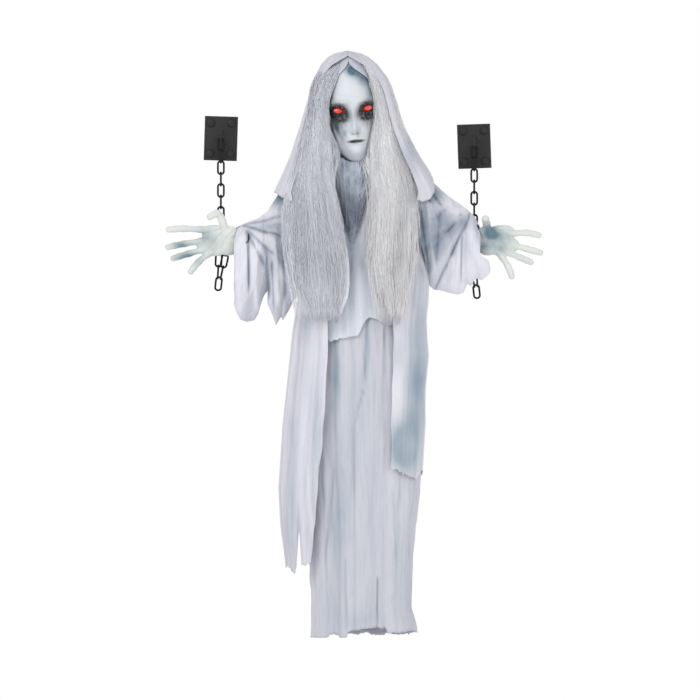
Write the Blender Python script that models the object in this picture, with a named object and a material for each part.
"""Hanging ghost figure held by two wall chains, with a motorised head and lit eyes.

Metres, +Z up. The ghost faces -Y. The origin is where a nail bears under the
top of the hanging loop, behind the neck, and the wall lies behind it.
"""

import bmesh
import bpy
import numpy as np
from math import asin, atan2, cos, exp, pi, radians, sin, sqrt
from mathutils import Matrix, Vector

# General clearances
gap = 0.0003
slide_gap = 0.0005
cut_overrun = 0.002
sink = 0.0006

# Whole figure, from the crown of the hood to the hem, and the wall behind it
figure_height = 1.524
wall_y = 0.035

# Torso housing
torso_top = -0.045
torso_height = 0.22
torso_half_width = 0.088
torso_half_depth = 0.048
torso_y = -0.055
torso_back_y = -0.013
torso_wall = 0.0025
torso_corner_power = 3.0
torso_row_shares = (
    (0.0, 0.62, 0.66),
    (0.07, 0.88, 0.86),
    (0.18, 1.0, 1.0),
    (0.45, 0.96, 1.0),
    (0.75, 0.86, 0.96),
    (1.0, 0.82, 0.92),
)

# Neck drive
neck_y = -0.065
shaft_radius = 0.006
shaft_collar_radius = 0.010
shaft_collar_height = 0.005
bearing_radius = 0.010
bearing_flange_radius = 0.014
bearing_flange_height = 0.003
gear_module = 0.0015
gear_teeth = 24
pinion_teeth = 10
gear_height = 0.006
gear_drop = 0.010
tooth_addendum_share = 0.75
tooth_root_share = 1.15
tooth_width_share = 0.32
tooth_tip_share = 0.13
shelf_drop = 0.035
shelf_height = 0.003
shelf_half_width = 0.042
shelf_front_y = -0.082
motor_width = 0.026
motor_depth = 0.022
motor_height = 0.036
motor_can_radius = 0.0105
motor_shaft_radius = 0.0015

# Head
head_x = -0.0135
head_y = -0.100
head_z = 0.1545
head_roll = radians(5.5)
head_half_width = 0.068
head_half_depth = 0.088
head_half_height = 0.1385
head_wall = 0.003
head_split_y = -0.018
head_floor_z = 0.046
head_floor_radius = 0.037
head_flange_radius = 0.024
eye_spacing_share = 149 / 136
eye_spacing = head_half_width * eye_spacing_share
eye_rise = -0.003
eye_half_width_share = 25 / 136
eye_half_width = head_half_width * eye_half_width_share
eye_half_height_share = 13 / 136
eye_half_height = head_half_width * eye_half_height_share
eye_slant = radians(12)
eye_depth = 0.016
led_radius = 0.0025
led_length = 0.009

# Cells, circuit board and speaker
cell_radius = 0.00725
cell_length = 0.0505
cell_nub_radius = 0.0027
cell_nub_height = 0.0012
cell_count = 3
door_width = 0.056
door_height = 0.064
door_top = -0.112
door_pin_radius = 0.00125
tray_wall = 0.002
board_width = 0.052
board_height = 0.046
board_thickness = 0.0016
board_z = -0.135
board_y = -0.084
post_radius = 0.003
speaker_radius = 0.022
speaker_height = 0.012
speaker_magnet_radius = 0.012
speaker_z = -0.205
speaker_y = -0.092
speaker_ring_wall = 0.0025

# Switch and try button, on the back of the housing
switch_x = 0.030
control_z = -0.098
switch_knob_width = 0.006
switch_knob_height = 0.007
switch_travel = 0.004
switch_stand = 0.003
switch_base_height = 0.003
button_radius = 0.0055
button_flange_radius = 0.0075
button_travel = 0.0025
button_rim = 0.0015
button_stand = button_travel + button_rim

# Hanging loop
loop_wire = 0.002
loop_half_width = 0.013
loop_leg_z = -0.064

# Shoulders and arms
shoulder_x = 0.122
shoulder_z = -0.078
lug_height = 0.026
lug_thickness = 0.008
eye_boss_radius = 0.011
eye_boss_half = 0.0055
pin_radius = 0.003
pin_head_radius = 0.0055
pin_head_height = 0.003
arm_y = -0.0665
arm_rod_radius = 0.005
wrist_z = -0.188
left_elbow_x = -0.205
left_elbow_z = -0.113
right_elbow_x = 0.226
right_elbow_z = -0.096
forearm_x = 0.250
wrist_x = 0.306
rod_tip_x = 0.338

# Hands
hand_length = 0.187
hand_stem_radius = 0.013
hand_stem_length = 0.034
palm_length = 0.098
palm_half_height = 0.041
palm_half_thickness = 0.013
palm_corner_power = 2.3
finger_radius = 0.0082
finger_tip_radius = 0.0048
palm_ring_shares = (
    (0.0, 0.32, 1.0),
    (0.16, 0.46, 1.08),
    (0.42, 0.88, 1.12),
    (0.72, 1.0, 1.0),
    (0.93, 0.92, 0.86),
    (1.0, 0.8, 0.6),
)
left_finger_shares = (
    ((0.42, 0.15, 0.0), (0.57, 0.155, -0.03), (0.8, 0.165, -0.04), (1.0, 0.15, -0.075)),
    ((0.42, 0.0, 0.0), (0.56, -0.012, -0.03), (0.8, -0.05, -0.04), (1.01, -0.095, -0.08)),
    ((0.4, -0.1, 0.0), (0.52, -0.13, -0.03), (0.74, -0.19, -0.045), (0.935, -0.25, -0.085)),
    ((0.36, -0.14, 0.0), (0.46, -0.2, -0.03), (0.59, -0.315, -0.05), (0.69, -0.44, -0.09)),
    ((0.2, 0.1, 0.0), (0.23, 0.23, -0.04), (0.3, 0.37, -0.07), (0.43, 0.325, -0.11)),
)
right_finger_shares = (
    ((0.4, 0.1, 0.0), (0.54, 0.1, -0.03), (0.72, 0.105, -0.05), (0.88, 0.07, -0.09)),
    ((0.4, -0.04, 0.0), (0.53, -0.07, -0.03), (0.72, -0.12, -0.05), (0.9, -0.17, -0.1)),
    ((0.36, -0.12, 0.0), (0.45, -0.17, -0.03), (0.62, -0.24, -0.06), (0.77, -0.305, -0.11)),
    ((0.3, -0.15, 0.0), (0.37, -0.24, -0.03), (0.45, -0.37, -0.06), (0.5, -0.51, -0.1)),
    ((0.16, 0.1, 0.0), (0.15, 0.21, -0.05), (0.13, 0.29, -0.12), (0.14, 0.3, -0.2)),
)

# Wall plates, staples and chain
plate_width = 0.086
plate_height = 0.115
plate_thickness = 0.006
plate_bevel = 0.001
bolt_radius = 0.011
bolt_height = 0.0045
bolt_spread_x = 0.027
bolt_spread_z = 0.040
left_plate_x = -0.3554
left_plate_z = 0.0765
left_plate_turn = radians(1.8)
right_plate_x = 0.3012
right_plate_z = 0.0562
right_plate_turn = radians(-2.0)
staple_wire = 0.0025
staple_span = 0.028
staple_drop = 0.004
staple_reach = 0.034
staple_seat = 0.003
chain_wire = 0.002
link_flat_share = 0.76
link_length = 0.037
link_width = 0.0194
chain_stand = 0.0187
chain_links = 7
slack_down_links = 5
slack_up_links = 3
slack_lean = radians(9)
cuff_links = 6
cuff_inset = 0.016

# Cloth
cloth = 0.0024
cloth_gap = 0.0006
layer_spread = 0.008
gown_top = -0.200
gown_half_width = 0.157
gown_half_depth = 0.088
gown_y = -0.082
gown_shift_x = 0.008
gown_fold = 0.010
gown_fold_count = 7
gown_full_share = 0.8
gown_hem_wave = 0.009
gown_row_shares = (
    (0.0, 0.0, 0.0),
    (0.05, 0.16, 0.15),
    (0.098, 0.38, 0.47),
    (0.147, 0.56, 0.66),
    (0.196, 0.77, 0.8),
    (0.295, 0.96, 1.0),
    (0.45, 1.0, 1.0),
    (0.717, 0.8, 1.0),
    (0.913, 0.67, 1.0),
    (1.0, 0.7, 1.0),
)
tunic_top = -0.054
tunic_left_hem = -0.438
tunic_right_hem = -0.394
tunic_armhole_z = -0.118
tunic_armhole_rise = 0.030
tunic_fold = 0.003
tunic_fold_count = 7
tunic_fold_turn = 0.8
tunic_front_angle = radians(60)
tunic_side_angle = radians(45)
tunic_row_shares = (0.0, 0.018, 0.08, 0.165, 0.205, 0.245, 0.4, 0.6, 0.8, 1.0)
coat_top = -0.060
coat_layer = 1.85
coat_half_width = 0.210
coat_depth_out = 0.012
coat_fold = 0.006
coat_armhole_rise = 0.020
coat_fold_count = 9
coat_fold_turn = 0.4
coat_front_angle = radians(62)
coat_side_angle = radians(56)
coat_least_angle = radians(12)
coat_level_share = 0.8
left_coat_bottom = -1.046
right_coat_bottom = -0.700
left_coat_width_shares = (
    (0.0, 0.47), (0.06, 0.485), (0.14, 0.52), (0.24, 0.62), (0.29, 0.69),
    (0.37, 0.825), (0.48, 0.88), (0.62, 0.95), (0.8, 1.0), (0.9, 0.975), (1.0, 0.915),
)
left_coat_inner_shares = (
    (0.0, 0.25), (0.1, 0.3), (0.28, 0.385), (0.45, 0.405), (0.66, 0.475), (0.85, 0.56), (1.0, 0.7),
)
right_coat_width_shares = (
    (0.0, 0.47), (0.1, 0.485), (0.22, 0.56), (0.375, 0.74), (0.45, 0.79),
    (0.516, 0.82), (0.664, 0.852), (0.8, 0.82), (0.89, 0.8), (1.0, 0.785),
)
right_coat_inner_shares = ((0.0, 0.27), (0.22, 0.36), (0.375, 0.5), (0.6, 0.6), (0.86, 0.7), (1.0, 0.75))
cowl_top = 0.006
cowl_bottom = -0.179
cowl_x = -0.016
cowl_half_width = 0.055
cowl_fold = 0.006
cowl_out = 0.009
cowl_taper_share = 0.35
cowl_belly_share = 1.15
cowl_edge_share = 1.4

# Hood
hood_x = -0.015
hood_half_width = 0.212
hood_half_depth = 0.104
hood_y = -0.095
hood_left_hem = -0.062
hood_right_hem = -0.016
hood_back_hem = -0.270
hood_vent_top = 0.030
hood_vent_half = 0.034
hood_fold = 0.003
hood_drop_angle = radians(140)
hood_drop_reach = radians(14)
hood_fold_count = 11
hood_level_shares = (0.022, 0.065, 0.14, 0.26, 0.4, 0.58, 0.78, 1.0)
hood_first_turn = 1.1
hood_turn_reach = 2.0
hood_lean_share = 4
hood_vent_slope = 20
hood_row_shares = (
    (0.0, 0.0, 0.0), (0.02, 0.16, 0.4), (0.045, 0.245, 0.57), (0.098, 0.345, 0.78), (0.19, 0.445, 0.96),
    (0.288, 0.5, 1.02), (0.535, 0.62, 1.04), (0.747, 0.774, 1.06), (0.951, 0.96, 1.09), (1.0, 1.0, 1.1),
    (1.6, 0.82, 1.1),
)
hood_opening_shares = (
    (0.0, 0.0), (0.03, 0.0), (0.06, 0.14), (0.1, 0.29), (0.16, 0.36), (0.28, 0.385), (0.535, 0.385),
    (1.0, 0.36),
)

# Wig
wig_thickness = 0.011
wig_side_thickness = 0.0092
wig_clearance = 0.0052
hood_clearance = 0.003
wig_face_angle = radians(62)
wig_face_top = radians(62)
wig_face_reach = radians(40)
wig_level_angles = (78, 64, 49, 32, 13, -8, -28)
lock_thickness = 0.014
lock_top = 0.160
left_lock_bottom = -0.420
right_lock_bottom = -0.384
lock_taper_share = 0.45
lock_wave_share = 0.2
# Down the lock, then across from the head's middle, half width and forward, as shares of the head
left_lock_shares = (
    (0.0, -1.154, 0.265, 0.602), (0.12, -1.243, 0.382, 0.648), (0.26, -1.375, 0.588, 0.682),
    (0.414, -1.449, 0.809, 0.568), (0.56, -1.463, 0.926, 0.511), (0.715, -1.272, 0.735, 0.682),
    (0.87, -1.051, 0.471, 0.966), (1.0, -0.904, 0.147, 1.136),
)
right_lock_shares = (
    (0.0, 1.169, 0.382, 0.682), (0.129, 1.169, 0.441, 0.75), (0.276, 1.199, 0.529, 0.739),
    (0.44, 1.287, 0.588, 0.568), (0.6, 1.346, 0.588, 0.511), (0.763, 1.287, 0.485, 0.682),
    (0.9, 1.11, 0.324, 0.966), (1.0, 0.86, 0.132, 1.08),
)

# Sleeves, with each drop as a share of the sleeve's lowest point below the loop
sleeve_half_depth = 0.048
sleeve_drop = 0.410
sleeve_fold = 0.004
sleeve_squareness = 0.7
sleeve_under_share = 0.25
left_sleeve_seat_share = 0.2
right_sleeve_seat_share = 1.7
left_sleeve_end = -0.318
right_sleeve_end = 0.312
left_sleeve_top_shares = (
    (0.0, 0.1), (0.3, 0.125), (0.48, 0.164), (0.61, 0.272), (0.75, 0.325), (0.95, 0.365), (1.0, 0.385),
)
left_sleeve_low_shares = (
    (0.0, 0.817), (0.1, 0.883), (0.25, 0.995), (0.4, 0.907), (0.5, 0.8),
    (0.62, 0.927), (0.75, 0.971), (0.9, 0.932), (1.0, 0.817),
)
right_sleeve_top_shares = (
    (0.0, 0.085), (0.3, 0.06), (0.416, 0.068), (0.56, 0.145), (0.785, 0.234), (0.94, 0.303), (1.0, 0.36),
)
right_sleeve_low_shares = (
    (0.0, 0.622), (0.2, 0.707), (0.4, 0.776), (0.68, 0.8), (0.78, 0.746), (1.0, 0.766),
)


def shade(name, colour, roughness, metallic=0.0):
    """A Principled material of one plain colour."""
    found = bpy.data.materials.get(name)
    if found:
        return found
    made = bpy.data.materials.new(name)
    made.use_nodes = True
    shader = made.node_tree.nodes["Principled BSDF"]
    shader.inputs["Base Color"].default_value = (*colour, 1.0)
    shader.inputs["Roughness"].default_value = roughness
    shader.inputs["Metallic"].default_value = metallic
    return made


def add_object(name, mesh, material, smooth=False):
    """One named object for one piece."""
    made = bpy.data.objects.new(name, mesh)
    bpy.context.scene.collection.objects.link(made)
    if made.type == "MESH" and smooth:
        mesh.shade_smooth()
        mesh.set_sharp_from_angle(angle=radians(40))
    if material:
        made.data.materials.append(material)
    return made


def from_bmesh(name, work, material, smooth=False):
    mesh = bpy.data.meshes.new(name)
    bmesh.ops.recalc_face_normals(work, faces=work.faces)
    work.to_mesh(mesh)
    work.free()
    return add_object(name, mesh, material, smooth)


def loft(name, rings, material, smooth=True):
    """A closed body through rings of as many points each, with its two ends filled."""
    work = bmesh.new()
    rows = [[work.verts.new(point) for point in ring] for ring in rings]
    count = len(rows[0])
    for upper, lower in zip(rows, rows[1:]):
        for i in range(count):
            j = (i + 1) % count
            work.faces.new((upper[i], upper[j], lower[j], lower[i]))
    work.faces.new(rows[0])
    work.faces.new(rows[-1])
    return from_bmesh(name, work, material, smooth)


def box(name, low, high, material=None):
    work = bmesh.new()
    bmesh.ops.create_cube(work, size=1.0)
    low, high = Vector(low), Vector(high)
    bmesh.ops.scale(work, vec=high - low, verts=work.verts)
    bmesh.ops.translate(work, vec=(low + high) / 2, verts=work.verts)
    return from_bmesh(name, work, material)


def turned(name, profile, centre, axis, material=None, steps=14):
    """A body of revolution from (radius, height) points, the height measured along the axis."""
    rings = []
    turn = Vector((0, 0, 1)).rotation_difference(Vector(axis)).to_matrix()
    for radius, height in profile:
        ring = []
        for i in range(steps):
            angle = 2 * pi * i / steps
            ring.append(Vector(centre) + turn @ Vector((radius * cos(angle), radius * sin(angle), height)))
        rings.append(ring)
    return loft(name, rings, material)


def rod(name, radius, low, high, centre, axis, material=None, steps=14):
    return turned(name, ((radius, low), (radius, high)), centre, axis, material, steps)


def tube(name, points, radius, material=None, cyclic=False, detail=1, tapers=None):
    """A round wire along points, as a mesh."""
    curve = bpy.data.curves.new(name, "CURVE")
    curve.dimensions = "3D"
    curve.bevel_depth = radius
    curve.bevel_resolution = detail
    curve.use_fill_caps = not cyclic
    spline = curve.splines.new("POLY")
    spline.points.add(len(points) - 1)
    for i, point in enumerate(points):
        spline.points[i].co = (*point, 1.0)
        spline.points[i].radius = tapers[i] if tapers else 1.0
    spline.use_cyclic_u = cyclic
    guide = bpy.data.objects.new(name + "_guide", curve)
    bpy.context.scene.collection.objects.link(guide)
    bpy.context.view_layer.update()
    mesh = bpy.data.meshes.new_from_object(guide.evaluated_get(bpy.context.evaluated_depsgraph_get()))
    mesh.materials.clear()
    bpy.data.objects.remove(guide)
    work = bmesh.new()
    work.from_mesh(mesh)
    bmesh.ops.remove_doubles(work, verts=work.verts, dist=sink / 100)
    bpy.data.meshes.remove(mesh)
    return from_bmesh(name, work, material, smooth=True)


def combine(target, operation, others):
    """Joins the others to the target, or cuts them from it, and removes them."""
    for other in others:
        modifier = target.modifiers.new(other.name, "BOOLEAN")
        modifier.operation = operation
        modifier.solver = "EXACT"
        modifier.object = other
    bpy.context.view_layer.update()
    evaluated = target.evaluated_get(bpy.context.evaluated_depsgraph_get())
    mesh = bpy.data.meshes.new_from_object(evaluated)
    target.modifiers.clear()
    target.data = mesh
    for other in others:
        bpy.data.objects.remove(other)
    mesh.shade_smooth()
    mesh.set_sharp_from_angle(angle=radians(40))
    return target


def sheet(name, points, material, wrap=False):
    """Cloth through rows of points, given its thickness by a Solidify modifier.

    Points that coincide become one, which closes a sheet where its edges meet.
    """
    work = bmesh.new()
    rows = [[work.verts.new(point) for point in row] for row in points]
    count = len(rows[0])
    for upper, lower in zip(rows, rows[1:]):
        for i in range(count if wrap else count - 1):
            j = (i + 1) % count
            work.faces.new((upper[i], upper[j], lower[j], lower[i]))
    bmesh.ops.remove_doubles(work, verts=work.verts, dist=sink / 100)
    bmesh.ops.dissolve_degenerate(work, dist=sink / 100, edges=work.edges)
    made = from_bmesh(name, work, material, smooth=True)
    thicken = made.modifiers.new("thickness", "SOLIDIFY")
    thicken.thickness = cloth
    thicken.offset = 0.0
    thicken.use_even_offset = True
    return made


def smooth_path(points, steps):
    """Points on a Catmull-Rom curve through the given ones."""
    spots = [np.array(point) for point in points]
    spots = [2 * spots[0] - spots[1]] + spots + [2 * spots[-1] - spots[-2]]
    path = []
    for i in range(1, len(spots) - 2):
        before, start, end, after = spots[i - 1:i + 3]
        for step in range(steps):
            t = step / steps
            path.append(0.5 * (
                2 * start + (end - before) * t
                + (2 * before - 5 * start + 4 * end - after) * t ** 2
                + (3 * start - before - 3 * end + after) * t ** 3
            ))
    return path + [spots[-2]]


def read(table, share, column=1):
    """The value of a table at a share of its length, between its rows."""
    return float(np.interp(share, [row[0] for row in table], [row[column] for row in table]))


def eased(share):
    share = min(max(share, 0.0), 1.0)
    return share * share * (3 - 2 * share)


def on_axis(pieces, spot, name, parent=None):
    """Puts the pieces' origins and an empty on a joint's pivot."""
    pivot = bpy.data.objects.new(name, None)
    pivot.location = spot
    pivot.empty_display_size = shaft_radius
    bpy.context.scene.collection.objects.link(pivot)
    for piece in pieces:
        piece.data.transform(Matrix.Translation(-Vector(spot)))
        piece.parent = pivot
    if parent:
        pivot.parent = parent
        pivot.location = Vector(spot) - Vector(parent["world"])
    pivot["world"] = tuple(spot)
    return pivot


def signed_power(value, power):
    return abs(value) ** power * (1 if value >= 0 else -1)


def ring_spot(angle, half_width, half_depth, power):
    """A point of a rounded outline, at an angle from the front towards +X."""
    return (
        half_width * signed_power(sin(angle), 2 / power),
        -half_depth * signed_power(cos(angle), 2 / power),
    )


def torso_size(z):
    share = (torso_top - z) / torso_height
    return (
        torso_half_width * read(torso_row_shares, share, 1),
        torso_half_depth * read(torso_row_shares, share, 2),
    )


def hem_height():
    return crown_height() - figure_height


def wig_top():
    """The highest point of the tilted wig: its x and z."""
    height = head_half_height + wig_thickness
    width = head_half_width + wig_thickness
    rise = sqrt((height * cos(head_roll)) ** 2 + (width * sin(head_roll)) ** 2)
    aside = (height ** 2 - width ** 2) * sin(head_roll) * cos(head_roll) / rise
    return head_x - aside, head_z + rise


def crown_height():
    return wig_top()[1] + gap + cloth


def body_size(z):
    """Half width, half depth, centre x and y, and corner power of what the robe hangs on."""
    down = (gown_top - z) / (gown_top - hem_height())
    width, depth = torso_size(max(z, gown_top))
    grown = read(gown_row_shares, down, 1) if down > 0 else 0.0
    deepened = read(gown_row_shares, down, 2) if down > 0 else 0.0
    return (
        width + (gown_half_width - width) * grown,
        depth + (gown_half_depth - depth) * deepened,
        gown_shift_x * deepened,
        torso_y + (gown_y - torso_y) * deepened,
        torso_corner_power + (2.1 - torso_corner_power) * deepened,
        deepened,
    )


def layer_out(z, layer):
    """How far a layer's middle lies outside the body at a height."""
    spread = layer_spread * body_size(z)[5]
    return cloth_gap + cloth / 2 + layer * (cloth + cloth_gap + spread)


def layer_spot(angle, z, layer, fold=0.0):
    width, depth, centre_x, centre_y, power, deepened = body_size(z)
    out = layer_out(z, layer) + fold
    x, y = ring_spot(angle, width + out, depth + out, power)
    return Vector((centre_x + x, centre_y + y, z))


def levels(top, bottom, count, first_share=1.0):
    """Heights from top to bottom, closer together near the top where the share is under 1."""
    steps = [first_share + (1 - first_share) * i / (count - 1) for i in range(count)]
    total = sum(steps)
    heights = [top]
    for step in steps:
        heights.append(heights[-1] + (bottom - top) * step / total)
    return heights


def torso_ring(z, inset, steps=18):
    width, depth = torso_size(z)
    ring = []
    for i in range(steps):
        x, y = ring_spot(2 * pi * i / steps, width - inset, depth - inset, torso_corner_power)
        ring.append(Vector((x, min(torso_y + y, torso_back_y - inset), z)))
    return ring


def torso_shell(name, front):
    """One half of the hollow torso, parted in the plane of the neck."""
    heights = [torso_top - torso_height * row[0] for row in torso_row_shares]
    rings = [torso_ring(z, 0.0) for z in heights]
    shell = loft(name, rings, shade("moulded_shell", (0.03, 0.03, 0.035), 0.55))
    inner = [max(heights[-1] + torso_wall, min(heights[0] - torso_wall, z)) for z in heights]
    hollow = loft("hollow", [torso_ring(z, torso_wall) for z in inner], None)
    reach = torso_half_width + shoulder_x
    low, high = heights[-1] - cut_overrun, heights[0] + cut_overrun
    if front:
        away = box("away", (-reach, neck_y - gap / 2, low), (reach, cut_overrun, high))
    else:
        away = box("away", (-reach, neck_y - reach, low), (reach, neck_y + gap / 2, high))
    combine(shell, "DIFFERENCE", [hollow, away])
    neck_hole = rod("neck_hole", bearing_radius + gap, -cut_overrun - torso_wall, cut_overrun,
                    (0, neck_y, torso_top), (0, 0, 1))
    return combine(shell, "DIFFERENCE", [neck_hole])


def make_housing():
    front = torso_shell("housing_front", True)
    bosses = [
        rod("boss", post_radius, -reach, 0, (x, board_y - gap, board_z + z), (0, 1, 0), steps=8)
        for x, z, reach in board_posts()
    ]
    combine(front, "UNION", bosses)
    ring_depth = speaker_ring_reach()
    ring = rod("ring", speaker_radius, -ring_depth, 0, (0, speaker_y - gap, speaker_z), (0, 1, 0))
    bore = rod("bore", speaker_radius - speaker_ring_wall, -ring_depth + torso_wall, cut_overrun,
               (0, speaker_y - gap, speaker_z), (0, 1, 0))
    combine(ring, "DIFFERENCE", [bore])
    combine(front, "UNION", [ring])

    back = torso_shell("housing_back", False)
    inside = torso_back_y - torso_wall
    shelf_top = torso_top - shelf_drop
    shelf = box("shelf", (-shelf_half_width, shelf_front_y, shelf_top - shelf_height),
                (shelf_half_width, inside + sink, shelf_top))
    shaft_hole = rod("shaft_hole", motor_shaft_radius + gap, -shelf_height - cut_overrun, cut_overrun,
                     (pinion_x(), neck_y, shelf_top), (0, 0, 1), steps=12)
    combine(shelf, "DIFFERENCE", [shaft_hole])
    lugs = []
    for side in (-1, 1):
        lug_y = lug_front_y()
        inner_x = side * (torso_size(shoulder_z)[0] - torso_wall)
        outer_x = side * (shoulder_x + eye_boss_radius)
        lug = box("lug", (min(inner_x, outer_x), lug_y, shoulder_z - lug_height / 2),
                  (max(inner_x, outer_x), lug_y + lug_thickness, shoulder_z + lug_height / 2))
        bore = rod("bore", pin_radius + gap, -cut_overrun, lug_thickness + cut_overrun,
                   (side * shoulder_x, lug_y, shoulder_z), (0, 1, 0), steps=12)
        lugs.append(combine(lug, "DIFFERENCE", [bore]))
    low, high = tray_room()
    door_low, door_high = door_box()
    rim = slide_gap + tray_wall
    tray = box("tray", (door_low[0] - rim, low[1] - tray_wall, door_low[2] - rim),
               (door_high[0] + rim, inside + sink, door_high[2] + rim))
    room = box("room", low, (high[0], inside + cut_overrun, high[2]))
    combine(tray, "DIFFERENCE", [room])
    combine(back, "UNION", [shelf, tray] + lugs)
    window = box("window",
                 (door_low[0] - slide_gap, inside - gap, door_low[2] - slide_gap),
                 (door_high[0] + slide_gap, torso_back_y + cut_overrun, door_high[2] + slide_gap))
    slot = box("slot",
               (switch_x - switch_knob_width / 2 - slide_gap, inside - cut_overrun,
                control_z - (switch_knob_height + switch_travel) / 2 - slide_gap),
               (switch_x + switch_knob_width / 2 + slide_gap, cut_overrun + torso_back_y,
                control_z + (switch_knob_height + switch_travel) / 2 + slide_gap))
    button_hole = rod("button_hole", button_radius + slide_gap, inside - cut_overrun,
                      torso_back_y + cut_overrun, (-switch_x, 0, control_z), (0, 1, 0))
    leg_holes = [
        rod("leg_hole", loop_wire + gap, inside - cut_overrun, torso_back_y + cut_overrun,
            (x, 0, loop_leg_z), (0, 1, 0), steps=12)
        for x in (-loop_half_width, loop_half_width)
    ]
    return combine(back, "DIFFERENCE", [window, slot, button_hole] + leg_holes)


def front_wall_y(x, z):
    """The middle of the torso's front wall at a place."""
    width, depth = torso_size(z)
    width, depth = width - torso_wall / 2, depth - torso_wall / 2
    return torso_y - depth * (1 - abs(x / width) ** torso_corner_power) ** (1 / torso_corner_power)


def board_posts():
    """Where the board's posts stand, and how far each reaches forward to the shell's wall."""
    spots = []
    for side_x in (-1, 1):
        for side_z in (-1, 1):
            x = side_x * (board_width / 2 - 2 * post_radius)
            z = side_z * (board_height / 2 - 2 * post_radius)
            spots.append((x, z, board_y - front_wall_y(x, board_z + z)))
    return spots


def speaker_ring_reach():
    return speaker_y - front_wall_y(speaker_radius, speaker_z - speaker_radius)


def lug_front_y():
    return arm_y + eye_boss_half + gap


def pinion_x():
    return gear_module * (gear_teeth + pinion_teeth) / 2 + slide_gap / 2


def tray_room():
    """The hollow for the cells, open towards the door."""
    half_x = (cell_count * (2 * cell_radius + gap) + gap) / 2
    half_z = cell_length / 2 + cell_nub_height + gap
    middle = door_top - door_height / 2
    floor_y = door_box()[0][1] - 2 * gap - 2 * cell_radius
    return (-half_x, floor_y, middle - half_z), (half_x, torso_back_y, middle + half_z)


def door_box():
    """The door lies flush in the back wall."""
    return ((-door_width / 2, torso_back_y - torso_wall, door_top - door_height),
            (door_width / 2, torso_back_y, door_top))


def make_door():
    low, high = door_box()
    pin_x = low[0] + door_pin_radius
    pin_y = high[1] - door_pin_radius
    door = box("battery_door", (pin_x, low[1], low[2]), high,
               shade("moulded_shell", (0.03, 0.03, 0.035), 0.55))
    edge = rod("edge", torso_wall / 2, 0, door_height, (pin_x, pin_y, low[2]), (0, 0, 1), steps=12)
    grip = rod("grip", torso_wall, 0, torso_wall,
               (high[0] - 3 * torso_wall, high[1] - sink, (low[2] + high[2]) / 2), (0, 1, 0), steps=12)
    combine(door, "UNION", [edge, grip])
    return on_axis([door], (pin_x, pin_y, (low[2] + high[2]) / 2), "door_hinge")


def make_cells():
    low, high = tray_room()
    for i in range(cell_count):
        x = (i - (cell_count - 1) / 2) * (2 * cell_radius + gap)
        up = 1 if i % 2 else -1
        profile = (
            (cell_radius, -cell_length / 2), (cell_radius, cell_length / 2),
            (cell_nub_radius, cell_length / 2), (cell_nub_radius, cell_length / 2 + cell_nub_height),
        )
        turned(f"battery_{i + 1}", profile,
               (x, low[1] + gap + cell_radius, (low[2] + high[2]) / 2), (0, 0, up),
               shade("cell_jacket", (0.35, 0.33, 0.3), 0.35, 0.6), steps=12)


def make_board():
    board = box("circuit_board",
                (-board_width / 2, board_y, board_z - board_height / 2),
                (board_width / 2, board_y + board_thickness, board_z + board_height / 2),
                shade("circuit_board", (0.02, 0.12, 0.05), 0.45))
    chip = board_thickness + sink
    parts = [
        box("chip", (-0.16 * board_width, board_y + board_thickness - sink, board_z - 0.1 * board_height),
            (0.1 * board_width, board_y + 2 * chip, board_z + 0.16 * board_height)),
        rod("capacitor", 2 * chip, 0, 4 * chip,
            (0.3 * board_width, board_y + board_thickness - sink, board_z + 0.2 * board_height),
            (0, 1, 0), steps=12),
    ]
    combine(board, "UNION", parts)


def make_speaker():
    profile = (
        (speaker_radius, 0), (speaker_radius, speaker_height / 4),
        (speaker_magnet_radius, speaker_height / 2), (speaker_magnet_radius, speaker_height),
    )
    turned("speaker", profile, (0, speaker_y, speaker_z), (0, 1, 0),
           shade("speaker", (0.02, 0.02, 0.02), 0.5))


def make_controls():
    inside = torso_back_y - torso_wall
    plastic = shade("control_plastic", (0.5, 0.04, 0.03), 0.4)
    base_half_x = switch_knob_width
    base_half_z = (switch_knob_height + 2 * switch_travel) / 2
    z = control_z - switch_travel / 2
    slider = box("switch_slider",
                 (switch_x - base_half_x, inside - gap - switch_base_height, z - base_half_z),
                 (switch_x + base_half_x, inside - gap, z + base_half_z), plastic)
    knob = box("knob", (switch_x - switch_knob_width / 2, inside - gap - sink, z - switch_knob_height / 2),
               (switch_x + switch_knob_width / 2, torso_back_y + switch_stand, z + switch_knob_height / 2))
    combine(slider, "UNION", [knob])
    on_axis([slider], (switch_x, torso_back_y, z), "switch_slide")
    flange = inside - gap
    profile = (
        (button_flange_radius, flange - torso_wall), (button_flange_radius, flange),
        (button_radius, flange), (button_radius, torso_back_y + button_stand - sink),
        (button_radius - sink, torso_back_y + button_stand),
    )
    button = turned("try_button", profile, (-switch_x, 0, control_z), (0, 1, 0), plastic)
    on_axis([button], (-switch_x, torso_back_y, control_z), "button_slide")


def make_loop():
    """The wire loop that the whole figure hangs on, its legs through the back wall."""
    radius = loop_half_width
    top = loop_wire
    inside = torso_back_y - torso_wall - 2 * loop_wire
    bend = 2 * loop_wire
    points = [(-radius, inside, loop_leg_z), (-radius, -bend, loop_leg_z),
              (-radius, -bend / 4, loop_leg_z + bend / 4), (-radius, 0, loop_leg_z + bend)]
    for i in range(9):
        angle = pi * i / 8
        points.append((-radius * cos(angle), 0, top - radius + radius * sin(angle)))
    points += [(radius, 0, loop_leg_z + bend), (radius, -bend / 4, loop_leg_z + bend / 4),
               (radius, -bend, loop_leg_z), (radius, inside, loop_leg_z)]
    tube("hanging_loop", points, loop_wire, shade("steel_wire", (0.5, 0.5, 0.5), 0.35, 1.0))


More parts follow.
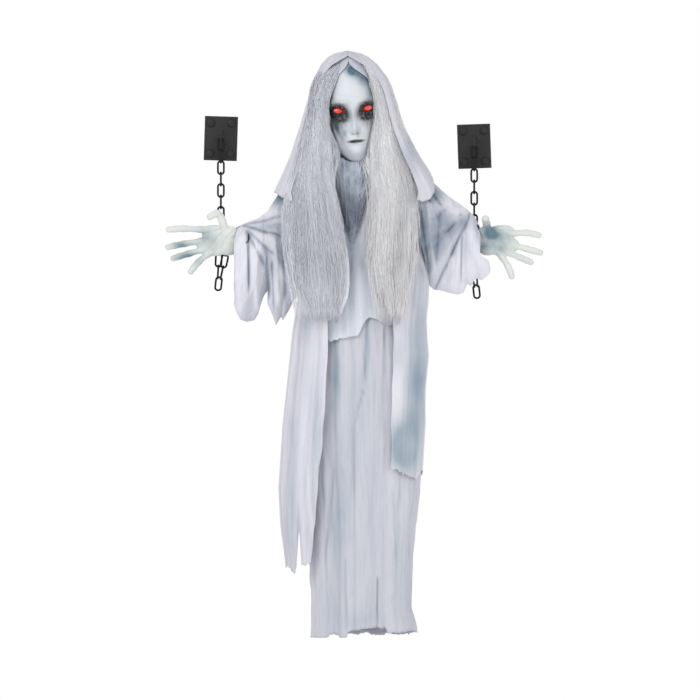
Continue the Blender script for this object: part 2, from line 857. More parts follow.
def gear_outline(teeth, turn):
    """A spur gear's outline, with straight-sided teeth."""
    pitch_radius = gear_module * teeth / 2
    root = pitch_radius - tooth_root_share * gear_module
    tip = pitch_radius + tooth_addendum_share * gear_module
    step = 2 * pi / teeth
    outline = []
    for i in range(teeth):
        middle = turn + i * step
        for radius, share in ((root, -tooth_width_share), (tip, -tooth_tip_share),
                              (tip, tooth_tip_share), (root, tooth_width_share)):
            angle = middle + share * step * (pitch_radius / radius)
            outline.append((radius * cos(angle), radius * sin(angle)))
    return outline


def make_gear(name, teeth, turn, centre, bore, material):
    z = torso_top - gear_drop
    outline = gear_outline(teeth, turn)
    gear = loft(name, [[Vector((centre[0] + x, centre[1] + y, height)) for x, y in outline]
                       for height in (z - gear_height, z)], material, smooth=False)
    hole = rod("hole", bore, -gear_height - cut_overrun, cut_overrun, (*centre, z), (0, 0, 1), steps=12)
    return combine(gear, "DIFFERENCE", [hole])


def make_neck_drive():
    """The motor's pinion turns the gear on the neck shaft, which carries the head."""
    nylon = shade("gear_nylon", (0.75, 0.74, 0.68), 0.45)
    steel = shade("steel_wire", (0.5, 0.5, 0.5), 0.35, 1.0)
    shelf_top = torso_top - shelf_drop
    gear = make_gear("neck_gear", gear_teeth, 0.0, (0, neck_y), shaft_radius + gap, nylon)
    turn = pi + pi / pinion_teeth
    pinion = make_gear("drive_pinion", pinion_teeth, turn, (pinion_x(), neck_y),
                       motor_shaft_radius + gap, nylon)
    flange_top = torso_top + bearing_flange_height + gap
    floor = head_floor_z - gap
    profile = (
        (shaft_radius, shelf_top + gap - torso_top), (shaft_radius, flange_top + gap - torso_top),
        (shaft_collar_radius, flange_top + gap - torso_top),
        (shaft_collar_radius, flange_top + shaft_collar_height - torso_top),
        (shaft_radius, flange_top + shaft_collar_height - torso_top),
        (shaft_radius, floor - shaft_collar_height - torso_top),
        (head_flange_radius, floor - shaft_collar_height / 2 - torso_top),
        (head_flange_radius, floor - torso_top),
    )
    shaft = turned("neck_shaft", profile, (0, neck_y, torso_top), (0, 0, 1), steel)
    bearing = turned("neck_bearing", (
        (bearing_radius, -torso_wall - gap), (bearing_radius, gap), (bearing_flange_radius, gap),
        (bearing_flange_radius, gap + bearing_flange_height)), (0, neck_y, torso_top), (0, 0, 1), nylon)
    bore = rod("bore", shaft_radius + gap, -torso_wall - cut_overrun, bearing_flange_height + cut_overrun,
               (0, neck_y, torso_top), (0, 0, 1))
    combine(bearing, "DIFFERENCE", [bore])
    motor_top = shelf_top - shelf_height - gap
    motor = box("gearmotor",
                (pinion_x() - motor_width / 2, neck_y - motor_depth / 2, motor_top - motor_height / 2),
                (pinion_x() + motor_width / 2, neck_y + motor_depth / 2, motor_top),
                shade("motor_can", (0.45, 0.45, 0.47), 0.35, 0.9))
    can = rod("can", motor_can_radius, -motor_height, sink - motor_height / 2,
              (pinion_x(), neck_y, shelf_top - shelf_height - gap), (0, 0, 1))
    spindle = rod("spindle", motor_shaft_radius, -sink, shelf_height + shelf_drop - gear_drop + gap,
                  (pinion_x(), neck_y, shelf_top - shelf_height - gap), (0, 0, 1), steps=12)
    combine(motor, "UNION", [can, spindle])
    return gear, pinion, shaft


def head_spot(x, y, z):
    """A place given in the head's own frame, which leans to one side."""
    return Vector((head_x + x * cos(head_roll) - z * sin(head_roll), head_y + y,
                   head_z + x * sin(head_roll) + z * cos(head_roll)))


def bump(x, z, centre_x, centre_z, spread_x, spread_z):
    return exp(-((x - centre_x) / spread_x) ** 2 - ((z - centre_z) / spread_z) ** 2)


def face_relief(x, z):
    """How far the generic mask's features stand out of the head's smooth form."""
    unit = head_half_width
    out = 0.27 * unit * bump(x, z, 0, -0.78 * unit, 0.15 * unit, 0.2 * unit)
    out += 0.14 * unit * bump(x, z, 0, -0.4 * unit, 0.12 * unit, 0.45 * unit)
    out += 0.05 * unit * bump(x, z, 0, -1.24 * unit, 0.32 * unit, 0.1 * unit)
    out -= 0.03 * unit * bump(x, z, 0, -1.26 * unit, 0.4 * unit, 0.03 * unit)
    out += 0.1 * unit * bump(x, z, 0, -1.66 * unit, 0.25 * unit, 0.2 * unit)
    for side in (-1, 1):
        eye = side * eye_spacing / 2
        out += 0.12 * unit * bump(x, z, eye * 0.9, 0.27 * unit, 0.4 * unit, 0.13 * unit)
        out -= 0.2 * unit * bump(x, z, eye, eye_rise, 0.3 * unit, 0.2 * unit)
        out += 0.09 * unit * bump(x, z, side * 0.62 * unit, -0.5 * unit, 0.2 * unit, 0.2 * unit)
        out -= 0.09 * unit * bump(x, z, side * 0.55 * unit, -1.05 * unit, 0.2 * unit, 0.3 * unit)
    return out


def head_form(angle, rise, inset=0.0, relief=1.0):
    """A point of the head: angle from the front, rise from -90 degrees at the chin to 90 at the crown.

    A relief share over 1 keeps only the hollows of the face, a little deeper, for its inner surface.
    """
    z = (head_half_height - inset) * sin(rise)
    spread = cos(rise) ** 0.85
    jaw = 1 - 0.2 * eased(-z / head_half_height) * eased((cos(angle) + 0.4) / 1.0)
    nape = 1 - 0.35 * eased(-z / head_half_height * 1.1) * eased(-cos(angle))
    x = (head_half_width - inset) * sin(angle) * spread * jaw
    y = -(head_half_depth - inset) * cos(angle) * spread * nape
    if relief and cos(angle) > 0:
        out = face_relief(x, z)
        if relief > 1:
            out = min(out, 0) * relief
        y -= out * eased(cos(angle) * 1.6)
    return head_spot(x, y, z)


def head_angles(count):
    """Angles round the head, closer together at the face."""
    shares = [-1 + 2 * i / count for i in range(count)]
    return [pi * (0.42 * share + 0.58 * share ** 3) for share in shares]


def head_body(name, inset, columns, rises, material, relief=1.0):
    work = bmesh.new()
    rows = []
    for rise in rises:
        rows.append([work.verts.new(head_form(angle, rise, inset, relief)) for angle in head_angles(columns)])
    bottom = work.verts.new(head_form(0, -pi / 2, inset, 0))
    top = work.verts.new(head_form(0, pi / 2, inset, 0))
    for lower, upper in zip(rows, rows[1:]):
        for i in range(columns):
            j = (i + 1) % columns
            work.faces.new((lower[i], lower[j], upper[j], upper[i]))
    for i in range(columns):
        j = (i + 1) % columns
        work.faces.new((rows[0][j], rows[0][i], bottom))
        work.faces.new((rows[-1][i], rows[-1][j], top))
    return from_bmesh(name, work, material, smooth=True)


def head_rises(lowest, middle, highest):
    return [radians(angle) for angle in (
        *np.linspace(-82, -66, lowest), *np.linspace(-60, 16, middle), *np.linspace(26, 82, highest))]


def head_half(name, front, material):
    columns, rises = (20, head_rises(2, 11, 3)) if front else (14, head_rises(1, 6, 3))
    shell = head_body(name, 0.0, columns, rises, material)
    hollow = head_body("hollow", head_wall, 14, head_rises(1, 7, 3), None, 1.25)
    reach = 2 * head_half_height
    split = head_y + head_split_y
    if front:
        away = box("away", (-reach, split - gap / 2, head_z - reach), (reach, reach, head_z + reach))
    else:
        away = box("away", (-reach, -reach, head_z - reach), (reach, split + gap / 2, head_z + reach))
    return combine(shell, "DIFFERENCE", [hollow, away])


def eye_profile(name, grow, low, high, side, material=None):
    """An almond eye's outline carried straight back, as a lens or as the hole for it."""
    rings = []
    for depth in (low, high):
        ring = []
        for i in range(12):
            angle = 2 * pi * i / 12
            x = (eye_half_width + grow) * cos(angle)
            z = (eye_half_height + grow) * sin(angle)
            slant = side * eye_slant
            ring.append(head_spot(side * eye_spacing / 2 + x * cos(slant) - z * sin(slant), depth,
                                  eye_rise + x * sin(slant) + z * cos(slant)))
        rings.append(ring)
    return loft(name, rings, material)


def eye_front():
    """How deep the face's surface lies at an eye, in the head's frame."""
    x, z = eye_spacing / 2, eye_rise
    flat = head_half_depth * sqrt(1 - (x / head_half_width) ** 2 - (z / head_half_height) ** 2)
    return -flat - face_relief(x, z)


def make_head():
    mask = head_half("face_mask", True, shade("mask_vinyl", (0.72, 0.75, 0.78), 0.5))
    skull = head_half("skull_shell", False, shade("moulded_shell", (0.03, 0.03, 0.035), 0.55))
    floor = rod("floor", head_floor_radius, head_floor_z, head_floor_z + head_wall, (0, neck_y, 0),
                (0, 0, 1), steps=16)
    front_of_floor = box("front_of_floor",
                         (-head_half_width, head_y - head_half_depth, head_floor_z - head_wall),
                         (head_half_width, head_y + head_split_y + head_wall, head_floor_z + 2 * head_wall))
    combine(floor, "DIFFERENCE", [front_of_floor])
    combine(skull, "UNION", [floor])
    neck_opening = rod("neck_opening", head_flange_radius + 2 * cut_overrun,
                       head_z - head_half_height - cut_overrun, head_floor_z - gap, (0, neck_y, 0),
                       (0, 0, 1), steps=16)
    combine(skull, "DIFFERENCE", [neck_opening])
    pieces = [mask, skull]
    holes = []
    for side, word in ((-1, "left"), (1, "right")):
        face = eye_front()
        holes.append(eye_profile("hole", gap, face - eye_depth, face + eye_depth, side))
        lens = eye_profile(word + "_eye_lens", 0.0, face + gap, face + eye_depth, side,
                           shade("eye_lens", (0.55, 0.02, 0.02), 0.2))
        spot = head_spot(side * eye_spacing / 2, face + eye_depth, eye_rise)
        socket = rod("socket", led_radius + gap, -led_length / 2, cut_overrun, spot, (0, 1, 0), steps=12)
        combine(lens, "DIFFERENCE", [socket])
        led = turned(word + "_led", (
            (led_radius * 0.6, -led_length / 2 + gap), (led_radius, -led_length / 4),
            (led_radius, led_length / 4), (led_radius * 1.2, led_length / 4),
            (led_radius * 1.2, led_length / 2),
        ), spot, (0, 1, 0), shade("led", (0.8, 0.1, 0.08), 0.25), steps=12)
        pieces += [lens, led]
    combine(mask, "DIFFERENCE", holes)
    return pieces


def arm_places(side):
    """Elbow of one arm; the rest of the arm is the same on both sides."""
    return (left_elbow_x, left_elbow_z) if side < 0 else (right_elbow_x, right_elbow_z)


def make_arm(side, word):
    elbow_x, elbow_z = arm_places(side)
    steel = shade("steel_wire", (0.5, 0.5, 0.5), 0.35, 1.0)
    start = Vector((side * shoulder_x, arm_y, shoulder_z))
    corners = [start, (elbow_x, arm_y, elbow_z),
               (side * (forearm_x - arm_rod_radius), arm_y, (elbow_z + 4 * wrist_z) / 5),
               (side * (forearm_x + 2 * arm_rod_radius), arm_y, wrist_z)]
    path = smooth_path(corners, 3) + [(side * rod_tip_x, arm_y, wrist_z)]
    arm = tube(word + "_arm_rod", path, arm_rod_radius, steel)
    boss = rod("boss", eye_boss_radius, -eye_boss_half, eye_boss_half, start, (0, 1, 0))
    combine(arm, "UNION", [boss])
    bore = rod("bore", pin_radius + gap, -eye_boss_half - cut_overrun, eye_boss_half + cut_overrun,
               start, (0, 1, 0), steps=12)
    combine(arm, "DIFFERENCE", [bore])
    front = arm_y - eye_boss_half - gap
    end = lug_front_y() + lug_thickness + gap
    turned(word + "_shoulder_pin", (
        (pin_head_radius, -pin_head_height), (pin_head_radius, 0), (pin_radius, 0), (pin_radius, end - front),
        (pin_head_radius, end - front), (pin_head_radius, end - front + pin_head_height / 2),
    ), (side * shoulder_x, front, shoulder_z), (0, 1, 0), steel, steps=12)
    hand = make_hand(side, word)
    cuff = make_cuff(side, word)
    shoulder = on_axis([arm, cuff], start, word + "_shoulder")
    on_axis([hand], (side * wrist_x, arm_y, wrist_z), word + "_wrist", shoulder)
    return shoulder


def hand_spot(side, out, up, front):
    return Vector((side * (wrist_x + out), arm_y + front, wrist_z + up))


def make_hand(side, word):
    """A vinyl hand with its palm to the front, its stem turning on the arm's rod."""
    rings = []
    stem = [(-hand_stem_length, 1.0), (-hand_stem_length * 0.3, 1.0)]
    for out, share in stem:
        rings.append([hand_spot(side, out, hand_stem_radius * share * cos(2 * pi * i / 12),
                                hand_stem_radius * share * sin(2 * pi * i / 12)) for i in range(12)])
    for along, tall, thick in palm_ring_shares:
        ring = []
        for i in range(12):
            up, front = ring_spot(pi / 2 - 2 * pi * i / 12, palm_half_height * tall,
                                  palm_half_thickness * thick, palm_corner_power)
            ring.append(hand_spot(side, palm_length * along, up, front * -1))
        rings.append(ring)
    hand = loft(word + "_hand", rings, shade("hand_vinyl", (0.72, 0.76, 0.7), 0.45))
    fingers = left_finger_shares if side < 0 else right_finger_shares
    pieces = []
    for finger in fingers:
        spots = [hand_spot(side, *(share * hand_length for share in spot)) for spot in finger]
        path = smooth_path(spots, 2)
        path.append(path[-1] + (path[-1] - path[-2]) * 0.3)
        last = len(path) - 2
        tapers = [1 - (1 - finger_tip_radius / finger_radius) * i / last for i in range(last + 1)]
        tapers.append(tapers[-1] / 2)
        pieces.append(tube("finger", path, finger_radius, None, tapers=tapers))
    combine(hand, "UNION", pieces)
    end = side * (wrist_x - hand_stem_length)
    bore = rod("bore", arm_rod_radius + slide_gap, -cut_overrun, rod_tip_x + gap - abs(end),
               (end, arm_y, wrist_z), (side, 0, 0), steps=12)
    return combine(hand, "DIFFERENCE", [bore])


def link_path(centre, along, across, length, width, arc_steps):
    """The middle line of one oval chain link."""
    straight = (length - width) / 2
    radius = width / 2 - chain_wire
    along, across, centre = Vector(along), Vector(across), Vector(centre)
    angles = [pi * i / arc_steps for i in range(arc_steps + 1)]
    peak = max(sin(angle) for angle in angles)
    path = []
    for end in (1, -1):
        for angle in angles:
            reach = straight + radius * sin(angle) / peak
            path.append(centre + end * (along * reach + across * radius * cos(angle)))
    return path


def make_link(name, centre, along, across, material, length=None, width=None, arc_steps=3):
    path = link_path(centre, along, across, length or link_length, width or link_width, arc_steps)
    return tube(name, path, chain_wire, material, cyclic=True)


def chain_pitch(slack=0.0):
    """From one hanging link to the next: their wires lie a gap apart, or run into each other."""
    return link_length - 2 * chain_wire * (1 + link_flat_share) - gap + slack


def make_cuff(side, word):
    """The ring of chain round the wrist, its uppermost link resting on the hand's stem."""
    pitch = chain_pitch(gap + sink)
    reach = pitch / (2 * sin(pi / cuff_links))
    middle = sqrt(reach ** 2 - (pitch / 2) ** 2)
    drop = middle - link_width / 2 - hand_stem_radius - gap
    centre = hand_spot(side, -cuff_inset, -drop, 0)
    black = shade("chain", (0.02, 0.02, 0.02), 0.5, 0.3)
    links = []
    for i in range(cuff_links):
        angle = pi / 2 + 2 * pi * i / cuff_links
        outward = Vector((0, cos(angle), sin(angle)))
        along = Vector((0, -sin(angle), cos(angle)))
        across = outward if i % 2 == 0 else Vector((1, 0, 0))
        links.append(make_link("link", centre + outward * middle, along, across, None))
    cuff = links[0]
    cuff.name = word + "_wrist_chain"
    cuff.data.name = cuff.name
    combine(cuff, "UNION", links[1:])
    cuff.data.materials.append(black)
    return cuff


def plate_front_y():
    return wall_y - plate_thickness


def chain_y():
    return plate_front_y() - chain_stand


def make_plate(side, word):
    x, z, turn = ((left_plate_x, left_plate_z, left_plate_turn) if side < 0
                  else (right_plate_x, right_plate_z, right_plate_turn))
    plate = box(word + "_wall_plate", (-plate_width / 2, plate_front_y(), -plate_height / 2),
                (plate_width / 2, wall_y, plate_height / 2),
                shade("plate_plastic", (0.035, 0.035, 0.037), 0.6))
    bevel = plate.modifiers.new("edges", "BEVEL")
    bevel.width = plate_bevel
    bevel.segments = 1
    bolts = []
    for side_x in (-1, 1):
        for side_z in (-1, 1):
            bolts.append(turned("bolt", (
                (bolt_radius, -sink), (bolt_radius, bolt_height * 0.35),
                (bolt_radius * 0.86, bolt_height * 0.72), (bolt_radius * 0.5, bolt_height)),
                (side_x * bolt_spread_x, plate_front_y(), side_z * bolt_spread_z), (0, -1, 0), steps=12))
    combine(plate, "UNION", bolts)
    plate.data.transform(Matrix.Translation((x, 0, z)) @ Matrix.Rotation(turn, 4, "Y"))
    leg_z = z - staple_drop
    high = leg_z + staple_span
    end_y = plate_front_y() + staple_seat
    bar_y = plate_front_y() - staple_reach
    bend = 3 * staple_wire
    path = [(x, end_y, leg_z)]
    for i in range(4):
        angle = pi / 2 * i / 3
        path.append((x, bar_y + bend * (1 - sin(angle)), leg_z + bend * (1 - cos(angle))))
    for i in range(4):
        angle = pi / 2 * i / 3
        path.append((x, bar_y + bend * (1 - cos(angle)), high - bend * (1 - sin(angle))))
    path.append((x, end_y, high))
    combine(plate, "UNION", [tube("staple", path, staple_wire)])
    return x, leg_z


def make_chain(side, word):
    """Seven hanging links, then the slack run that comes back up towards the wrist."""
    x, leg_z = make_plate(side, word)
    black = shade("chain", (0.02, 0.02, 0.02), 0.5, 0.3)
    y = chain_y()
    centre_z = leg_z + staple_wire + gap + chain_wire * (1 + link_flat_share) - link_length / 2
    pivot = None
    pivot_z = leg_z
    for i in range(chain_links):
        facing = i % 2 == 0
        across = (1, 0, 0) if facing else (0, 1, 0)
        link = make_link(f"{word}_link_{i + 1}", (x, y, centre_z), (0, 0, 1), across, black)
        if not facing:
            pivot_z = centre_z + link_length / 2 - chain_wire
        elif i:
            pivot_z = centre_z + chain_pitch() - link_length / 2 + chain_wire
        pivot = on_axis([link], (x, y, pivot_z), f"{word}_link_{i + 1}_pivot", pivot)
        centre_z -= chain_pitch()
    slack = make_slack(side, word, x, y, centre_z, chain_links % 2 == 0)
    slack.data.materials.append(black)
    hook = Vector((x, y, centre_z + link_length / 2 - chain_wire))
    balance = volume_centre(slack.data) - hook
    swing = Matrix.Rotation(atan2(balance.x, -balance.z), 4, "Y")
    slack.data.transform(Matrix.Translation(hook) @ swing @ Matrix.Translation(-hook))
    on_axis([slack], hook, word + "_slack_pivot", pivot)


def volume_centre(mesh):
    """The centre of the space inside a closed mesh."""
    mesh.calc_loop_triangles()
    spots = np.array([vertex.co for vertex in mesh.vertices])
    corners = spots[[triangle.vertices[:] for triangle in mesh.loop_triangles]]
    volumes = np.einsum("ij,ij->i", corners[:, 0], np.cross(corners[:, 1], corners[:, 2]))
    return Vector((corners.sum(axis=1) / 4 * volumes[:, None]).sum(axis=0) / volumes.sum())


def make_slack(side, word, x, y, centre_z, facing):
    """The lowest run of links, down to a bottom link and up again, joined into one piece."""
    pitch = chain_pitch(gap + sink)
    links = []
    for i in range(slack_down_links):
        across = (1, 0, 0) if facing == (i % 2 == 0) else (0, 1, 0)
        links.append(make_link("link", (x, y, centre_z), (0, 0, 1), across, None))
        centre_z -= pitch
    tilt = Vector((-side * sin(slack_lean / 3), 0, cos(slack_lean / 3)))
    flat = Vector((cos(slack_lean / 3), 0, side * sin(slack_lean / 3)))
    links.append(make_link("bottom_link", (x - side * 1.5 * chain_wire, y, centre_z), tilt, flat, None))
    lean = Vector((-side * sin(slack_lean), 0, cos(slack_lean)))
    beside = Vector((cos(slack_lean), 0, side * sin(slack_lean)))
    hook = Vector((x - side * 4 * chain_wire, y, centre_z + link_length / 2 - chain_wire))
    start = hook + lean * (link_length / 2 - 3 * chain_wire + sink)
    for i in range(slack_up_links):
        across = (0, 1, 0) if i % 2 == 0 else beside
        links.append(make_link("link", start + lean * pitch * i, lean, across, None))
    slack = links[0]
    slack.name = word + "_slack_chain"
    slack.data.name = slack.name
    return combine(slack, "UNION", links[1:])


def ripple(angle, count, turn=0.0):
    """A fold pattern round the body, from -1 to 1, with rounder crests than a plain wave."""
    return 0.75 * cos(count * angle + turn) + 0.25 * cos(2 * count * angle + 1.3 * turn + 1.0)


def make_gown():
    """The long under-robe, a closed ring of cloth hung from the waist of the torso."""
    hem = hem_height()
    columns = 28
    rows = []
    for row in gown_row_shares:
        down = row[0]
        line = []
        for i in range(columns):
            angle = 2 * pi * i / columns
            wave = gown_hem_wave * down ** 4 * cos(5 * angle + 0.6)
            z = gown_top + (hem - gown_hem_wave - gown_top) * down + wave
            fold = gown_fold * eased(down / gown_full_share) * ripple(angle, gown_fold_count)
            line.append(layer_spot(angle, max(z, hem), 0, fold))
        rows.append(line)
    sheet("gown", rows, shade("gown_cloth", (0.66, 0.67, 0.74), 0.9), wrap=True)


def make_tunic():
    """The bodice and its short skirt, open down the back and cut away for the arms."""
    columns = 14
    rows = []
    for down in tunic_row_shares:
        line = []
        for i in range(columns + 1):
            share = -1 + 2 * i / columns
            hem = tunic_left_hem + (tunic_right_hem - tunic_left_hem) * eased(0.5 + share * 3)
            z = tunic_top + (hem - tunic_top) * down
            widest = tunic_front_angle + tunic_side_angle * eased((tunic_armhole_z - z) / tunic_armhole_rise)
            angle = share * widest
            fold = tunic_fold * down * (1 + ripple(angle, tunic_fold_count, tunic_fold_turn))
            line.append(layer_spot(angle, z, 1, fold))
        rows.append(line)
    sheet("tunic", rows, shade("tunic_cloth", (0.6, 0.65, 0.74), 0.9))


def make_coat(side, word, bottom, widths, inners):
    """One front panel of the open coat, from its inner edge round to the back of the side."""
    columns = 9
    heights = [coat_top, torso_top - torso_height * torso_row_shares[2][0], tunic_armhole_z]
    heights += levels(tunic_armhole_z - coat_armhole_rise, bottom, 6, coat_level_share)
    rows = []
    for z in heights:
        down = (coat_top - z) / (coat_top - bottom)
        line = []
        _, depth, centre_x, centre_y, power, deepened = body_size(z)
        least = body_size(z)[0] + layer_out(z, coat_layer)
        width = max(coat_half_width * read(widths, down), least)
        inner = asin(min(coat_half_width * read(inners, down) / width, 1.0) ** (power / 2))
        armhole = eased((tunic_armhole_z - z) / coat_armhole_rise)
        outer = max(inner + coat_least_angle, coat_front_angle + coat_side_angle * armhole)
        deep = depth + layer_out(z, coat_layer) + coat_depth_out * deepened
        for i in range(columns + 1):
            share = i / columns
            angle = inner + (outer - inner) * share
            fold = coat_fold * deepened * (1 + ripple(angle, coat_fold_count, coat_fold_turn * side))
            drop = 0.0 if down < 1 else coat_fold * 3 * cos(3 * pi * share)
            x, y = ring_spot(angle, width + fold / 2, deep + fold, power)
            line.append(Vector((centre_x + side * x, centre_y + y, z - drop)))
        rows.append(line)
    sheet(word + "_coat_panel", rows, shade("coat_cloth", (0.68, 0.68, 0.75), 0.9))


def make_cowl():
    """The dark draped collar under the chin, lying on the tunic's front."""
    columns = 9
    rows = []
    for level in range(7):
        down = level / 6
        z = cowl_top + (cowl_bottom - cowl_top) * down
        line = []
        for i in range(columns + 1):
            share = -1 + 2 * i / columns
            x = cowl_x + cowl_half_width * share * (1 - cowl_taper_share * down)
            at = min(z, tunic_top)
            width, _, centre_x, _, power, _ = body_size(at)
            reach = width + layer_out(at, 2) + tunic_fold
            angle = asin(min(0.9, abs(x - centre_x) / reach) ** (power / 2)) * (1 if x > centre_x else -1)
            spot = layer_spot(angle, at, 3, gap + 2 * tunic_fold * down)
            out = cowl_out * sin(pi * min(down * cowl_belly_share, 1.0))
            out += cowl_fold * (1 + cos(5 * pi * share + 2 * down)) / 2
            line.append(Vector((x, spot.y - out * eased(cowl_edge_share - abs(share)), z)))
        rows.append(line)
    sheet("cowl", rows, shade("cowl_cloth", (0.33, 0.36, 0.44), 0.9))


def hood_size(z):
    down = (crown_height() - z) / (crown_height() - hood_left_hem)
    width = hood_half_width * read(hood_row_shares, down, 1)
    return width, hood_half_depth * read(hood_row_shares, down, 2), down


def hood_spot(angle, z):
    """A point of the hood at an angle from the front; its back centre is parted below the vent's top."""
    width, depth, down = hood_size(z)
    lean = wig_top()[0] + (hood_x - wig_top()[0]) * min(down * hood_lean_share, 1.0)
    lean += (0 - hood_x) * eased((down - 0.5) * 2)
    x, y = ring_spot(angle, width, depth, 2.0)
    fold = hood_fold * eased(1.5 * down) * ripple(angle, hood_fold_count, 2 * down)
    reach = sqrt(x * x + y * y) or 1.0
    return Vector((lean + x * (1 + fold / reach), hood_y + y * (1 + fold / reach), z))


def hood_hem(angle):
    """The hem hangs lowest at the back and is cut short over the shoulders."""
    side_hem = hood_left_hem if angle < 0 else hood_right_hem
    return side_hem + (hood_back_hem - side_hem) * eased((abs(angle) - hood_drop_angle) / hood_drop_reach)


def make_hood():
    crown = crown_height() - cloth / 2
    columns = 9
    rows = []
    for share in hood_level_shares:
        line = []
        for side in (-1, 1):
            half = []
            for i in range(columns + 1):
                along = i / columns
                guess = side * (hood_first_turn + hood_turn_reach * along)
                rough = crown + (hood_hem(guess) - crown) * share
                width, _, down = hood_size(rough)
                opening = pi * read(hood_opening_shares, down)
                vent = asin(min(0.9, hood_vent_half / max(width, hood_vent_half)))
                vent *= eased((hood_vent_top - rough) * hood_vent_slope)
                angle = side * (opening + (pi - vent - opening) * along)
                z = crown + (hood_hem(angle) - crown) * share
                half.append(hood_spot(angle, z))
            line.append(half)
        rows.append(line)
    work = bmesh.new()
    pole = work.verts.new((wig_top()[0], head_y, crown))
    for side in (0, 1):
        grid = [[work.verts.new(spot) for spot in row[side]] for row in rows]
        for upper, lower in zip(grid, grid[1:]):
            for i in range(columns):
                work.faces.new((upper[i], upper[i + 1], lower[i + 1], lower[i]))
        for i in range(columns):
            work.faces.new((pole, grid[0][i + 1], grid[0][i]))
    bmesh.ops.remove_doubles(work, verts=work.verts, dist=sink / 10)
    hood = from_bmesh("hood", work, shade("hood_cloth", (0.68, 0.67, 0.74), 0.9), smooth=True)
    thicken = hood.modifiers.new("thickness", "SOLIDIFY")
    thicken.thickness = cloth
    thicken.offset = 0.0
    return hood


def wig_inset(rise, side_out, top_out):
    """How far the cap stands off the head, as a negative inset, more at its top than at its sides."""
    return -side_out - (top_out - side_out) * max(sin(rise), 0) ** 8


def make_wig():
    """The wig's cap, which leaves the face open."""
    rows = []
    columns = 14
    for rise in [radians(angle) for angle in wig_level_angles]:
        line = []
        opening = wig_face_angle * eased((wig_face_top - rise) / wig_face_reach)
        for i in range(columns + 1):
            angle = opening + (2 * pi - 2 * opening) * i / columns
            line.append((angle, rise))
        rows.append(line)
    work = bmesh.new()
    shells = []
    for side_out, top_out in ((wig_clearance, wig_clearance),
                              (wig_side_thickness, wig_thickness - hood_clearance)):
        grid = [[work.verts.new(head_form(angle, rise, wig_inset(rise, side_out, top_out), 0))
                 for angle, rise in line] for line in rows]
        pole = work.verts.new(head_form(0, pi / 2, -top_out, 0))
        shells.append((grid, pole))
    return rows, shells, work


def lock_body(side, word, bottom, shares):
    """A long lock of hair beside the face, thin from front to back."""
    rings = []
    for down, x_share, width_share, y_share in shares:
        z = lock_top + (bottom - lock_top) * down
        centre = Vector((head_x + x_share * head_half_width, head_y - y_share * head_half_depth, z))
        thick = lock_thickness / 2 * (1 - lock_taper_share * down)
        ring = []
        for i in range(10):
            angle = 2 * pi * i / 10
            wave = lock_wave_share * thick * cos(3 * angle + 5 * down)
            ring.append(centre + Vector((width_share * head_half_width * cos(angle),
                                         (thick + wave) * sin(angle), 0)))
        rings.append(ring)
    return loft(f"{word}_hair_lock", rings, shade("hair", (0.7, 0.7, 0.7), 0.6))


def sleeve_half(side, z, widths, bottom):
    """Where the sleeve's inner end lies against the coat's armhole."""
    down = (coat_top - z) / (coat_top - bottom)
    width, _, _, _, _, deepened = body_size(z)
    least = width + layer_out(z, coat_layer)
    seat = coat_fold * deepened * (left_sleeve_seat_share if side < 0 else right_sleeve_seat_share)
    return max(coat_half_width * read(widths, down), least) + seat + cloth + cloth_gap / 2


def make_sleeve(side, word, end, tops, lows, widths, bottom):
    """A wide hanging sleeve round the arm, open at the wrist."""
    columns = 14
    rows = []
    for level in range(9):
        along = level / 8
        high, low = -sleeve_drop * read(tops, along), -sleeve_drop * read(lows, along)
        line = []
        for i in range(columns):
            angle = 2 * pi * i / columns
            tall = (high + low) / 2 + (high - low) / 2 * cos(angle)
            root = sleeve_half(side, tall, widths, bottom)
            x = root + (abs(end) - root) * along
            fold = sleeve_fold * sin(angle) * cos(4 * pi * along + 2 * angle)
            deep = sleeve_half_depth * signed_power(sin(angle), sleeve_squareness)
            deep *= 1 - sleeve_under_share * eased(-cos(angle))
            line.append(Vector((side * x, arm_y - deep - fold, tall)))
        rows.append(line)
    sheet(word + "_sleeve", rows, shade("sleeve_cloth", (0.66, 0.66, 0.74), 0.9), wrap=True)


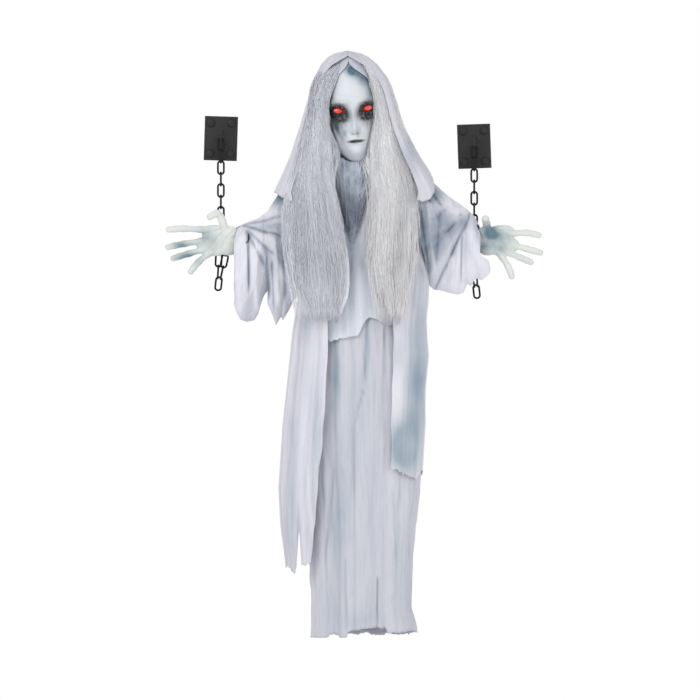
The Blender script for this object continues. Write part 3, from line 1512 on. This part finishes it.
def cap_shell(name, rows, shells, work, material):
    """Joins the inner and outer faces of an open cap round its rim."""
    count = len(rows[0])
    for grid, pole in shells:
        for upper, lower in zip(grid, grid[1:]):
            for i in range(count - 1):
                work.faces.new((upper[i], upper[i + 1], lower[i + 1], lower[i]))
        for i in range(count - 1):
            work.faces.new((pole, grid[0][i + 1], grid[0][i]))
    inner, outer = shells[0][0], shells[1][0]
    for i in range(count - 1):
        work.faces.new((inner[-1][i], inner[-1][i + 1], outer[-1][i + 1], outer[-1][i]))
    for upper, lower, upper_out, lower_out in zip(inner, inner[1:], outer, outer[1:]):
        for i in (0, count - 1):
            if (upper[0].co - upper[-1].co).length > sink or (lower[0].co - lower[-1].co).length > sink:
                work.faces.new((upper[i], lower[i], lower_out[i], upper_out[i]))
    bmesh.ops.remove_doubles(work, verts=work.verts, dist=sink / 10)
    return from_bmesh(name, work, material, smooth=True)


def main():
    for item in list(bpy.data.objects):
        bpy.data.objects.remove(item)
    make_housing()
    make_door()
    make_cells()
    make_board()
    make_speaker()
    make_controls()
    make_loop()
    gear, pinion, shaft = make_neck_drive()
    head = make_head()
    rows, shells, work = make_wig()
    head.append(cap_shell("wig_cap", rows, shells, work, shade("hair", (0.7, 0.7, 0.7), 0.6)))
    head.append(lock_body(-1, "left", left_lock_bottom, left_lock_shares))
    head.append(lock_body(1, "right", right_lock_bottom, right_lock_shares))
    head.append(make_hood())
    on_axis([gear, shaft] + head, (0, neck_y, torso_top), "head_turn_pivot")
    on_axis([pinion], (pinion_x(), neck_y, torso_top - gear_drop), "pinion_spin_pivot")
    for side, word in ((-1, "left"), (1, "right")):
        make_arm(side, word)
        make_chain(side, word)
    make_gown()
    make_tunic()
    make_coat(-1, "left", left_coat_bottom, left_coat_width_shares, left_coat_inner_shares)
    make_coat(1, "right", right_coat_bottom, right_coat_width_shares, right_coat_inner_shares)
    make_cowl()
    make_sleeve(-1, "left", left_sleeve_end, left_sleeve_top_shares, left_sleeve_low_shares,
                left_coat_width_shares, left_coat_bottom)
    make_sleeve(1, "right", right_sleeve_end, right_sleeve_top_shares, right_sleeve_low_shares,
                right_coat_width_shares, right_coat_bottom)


main()
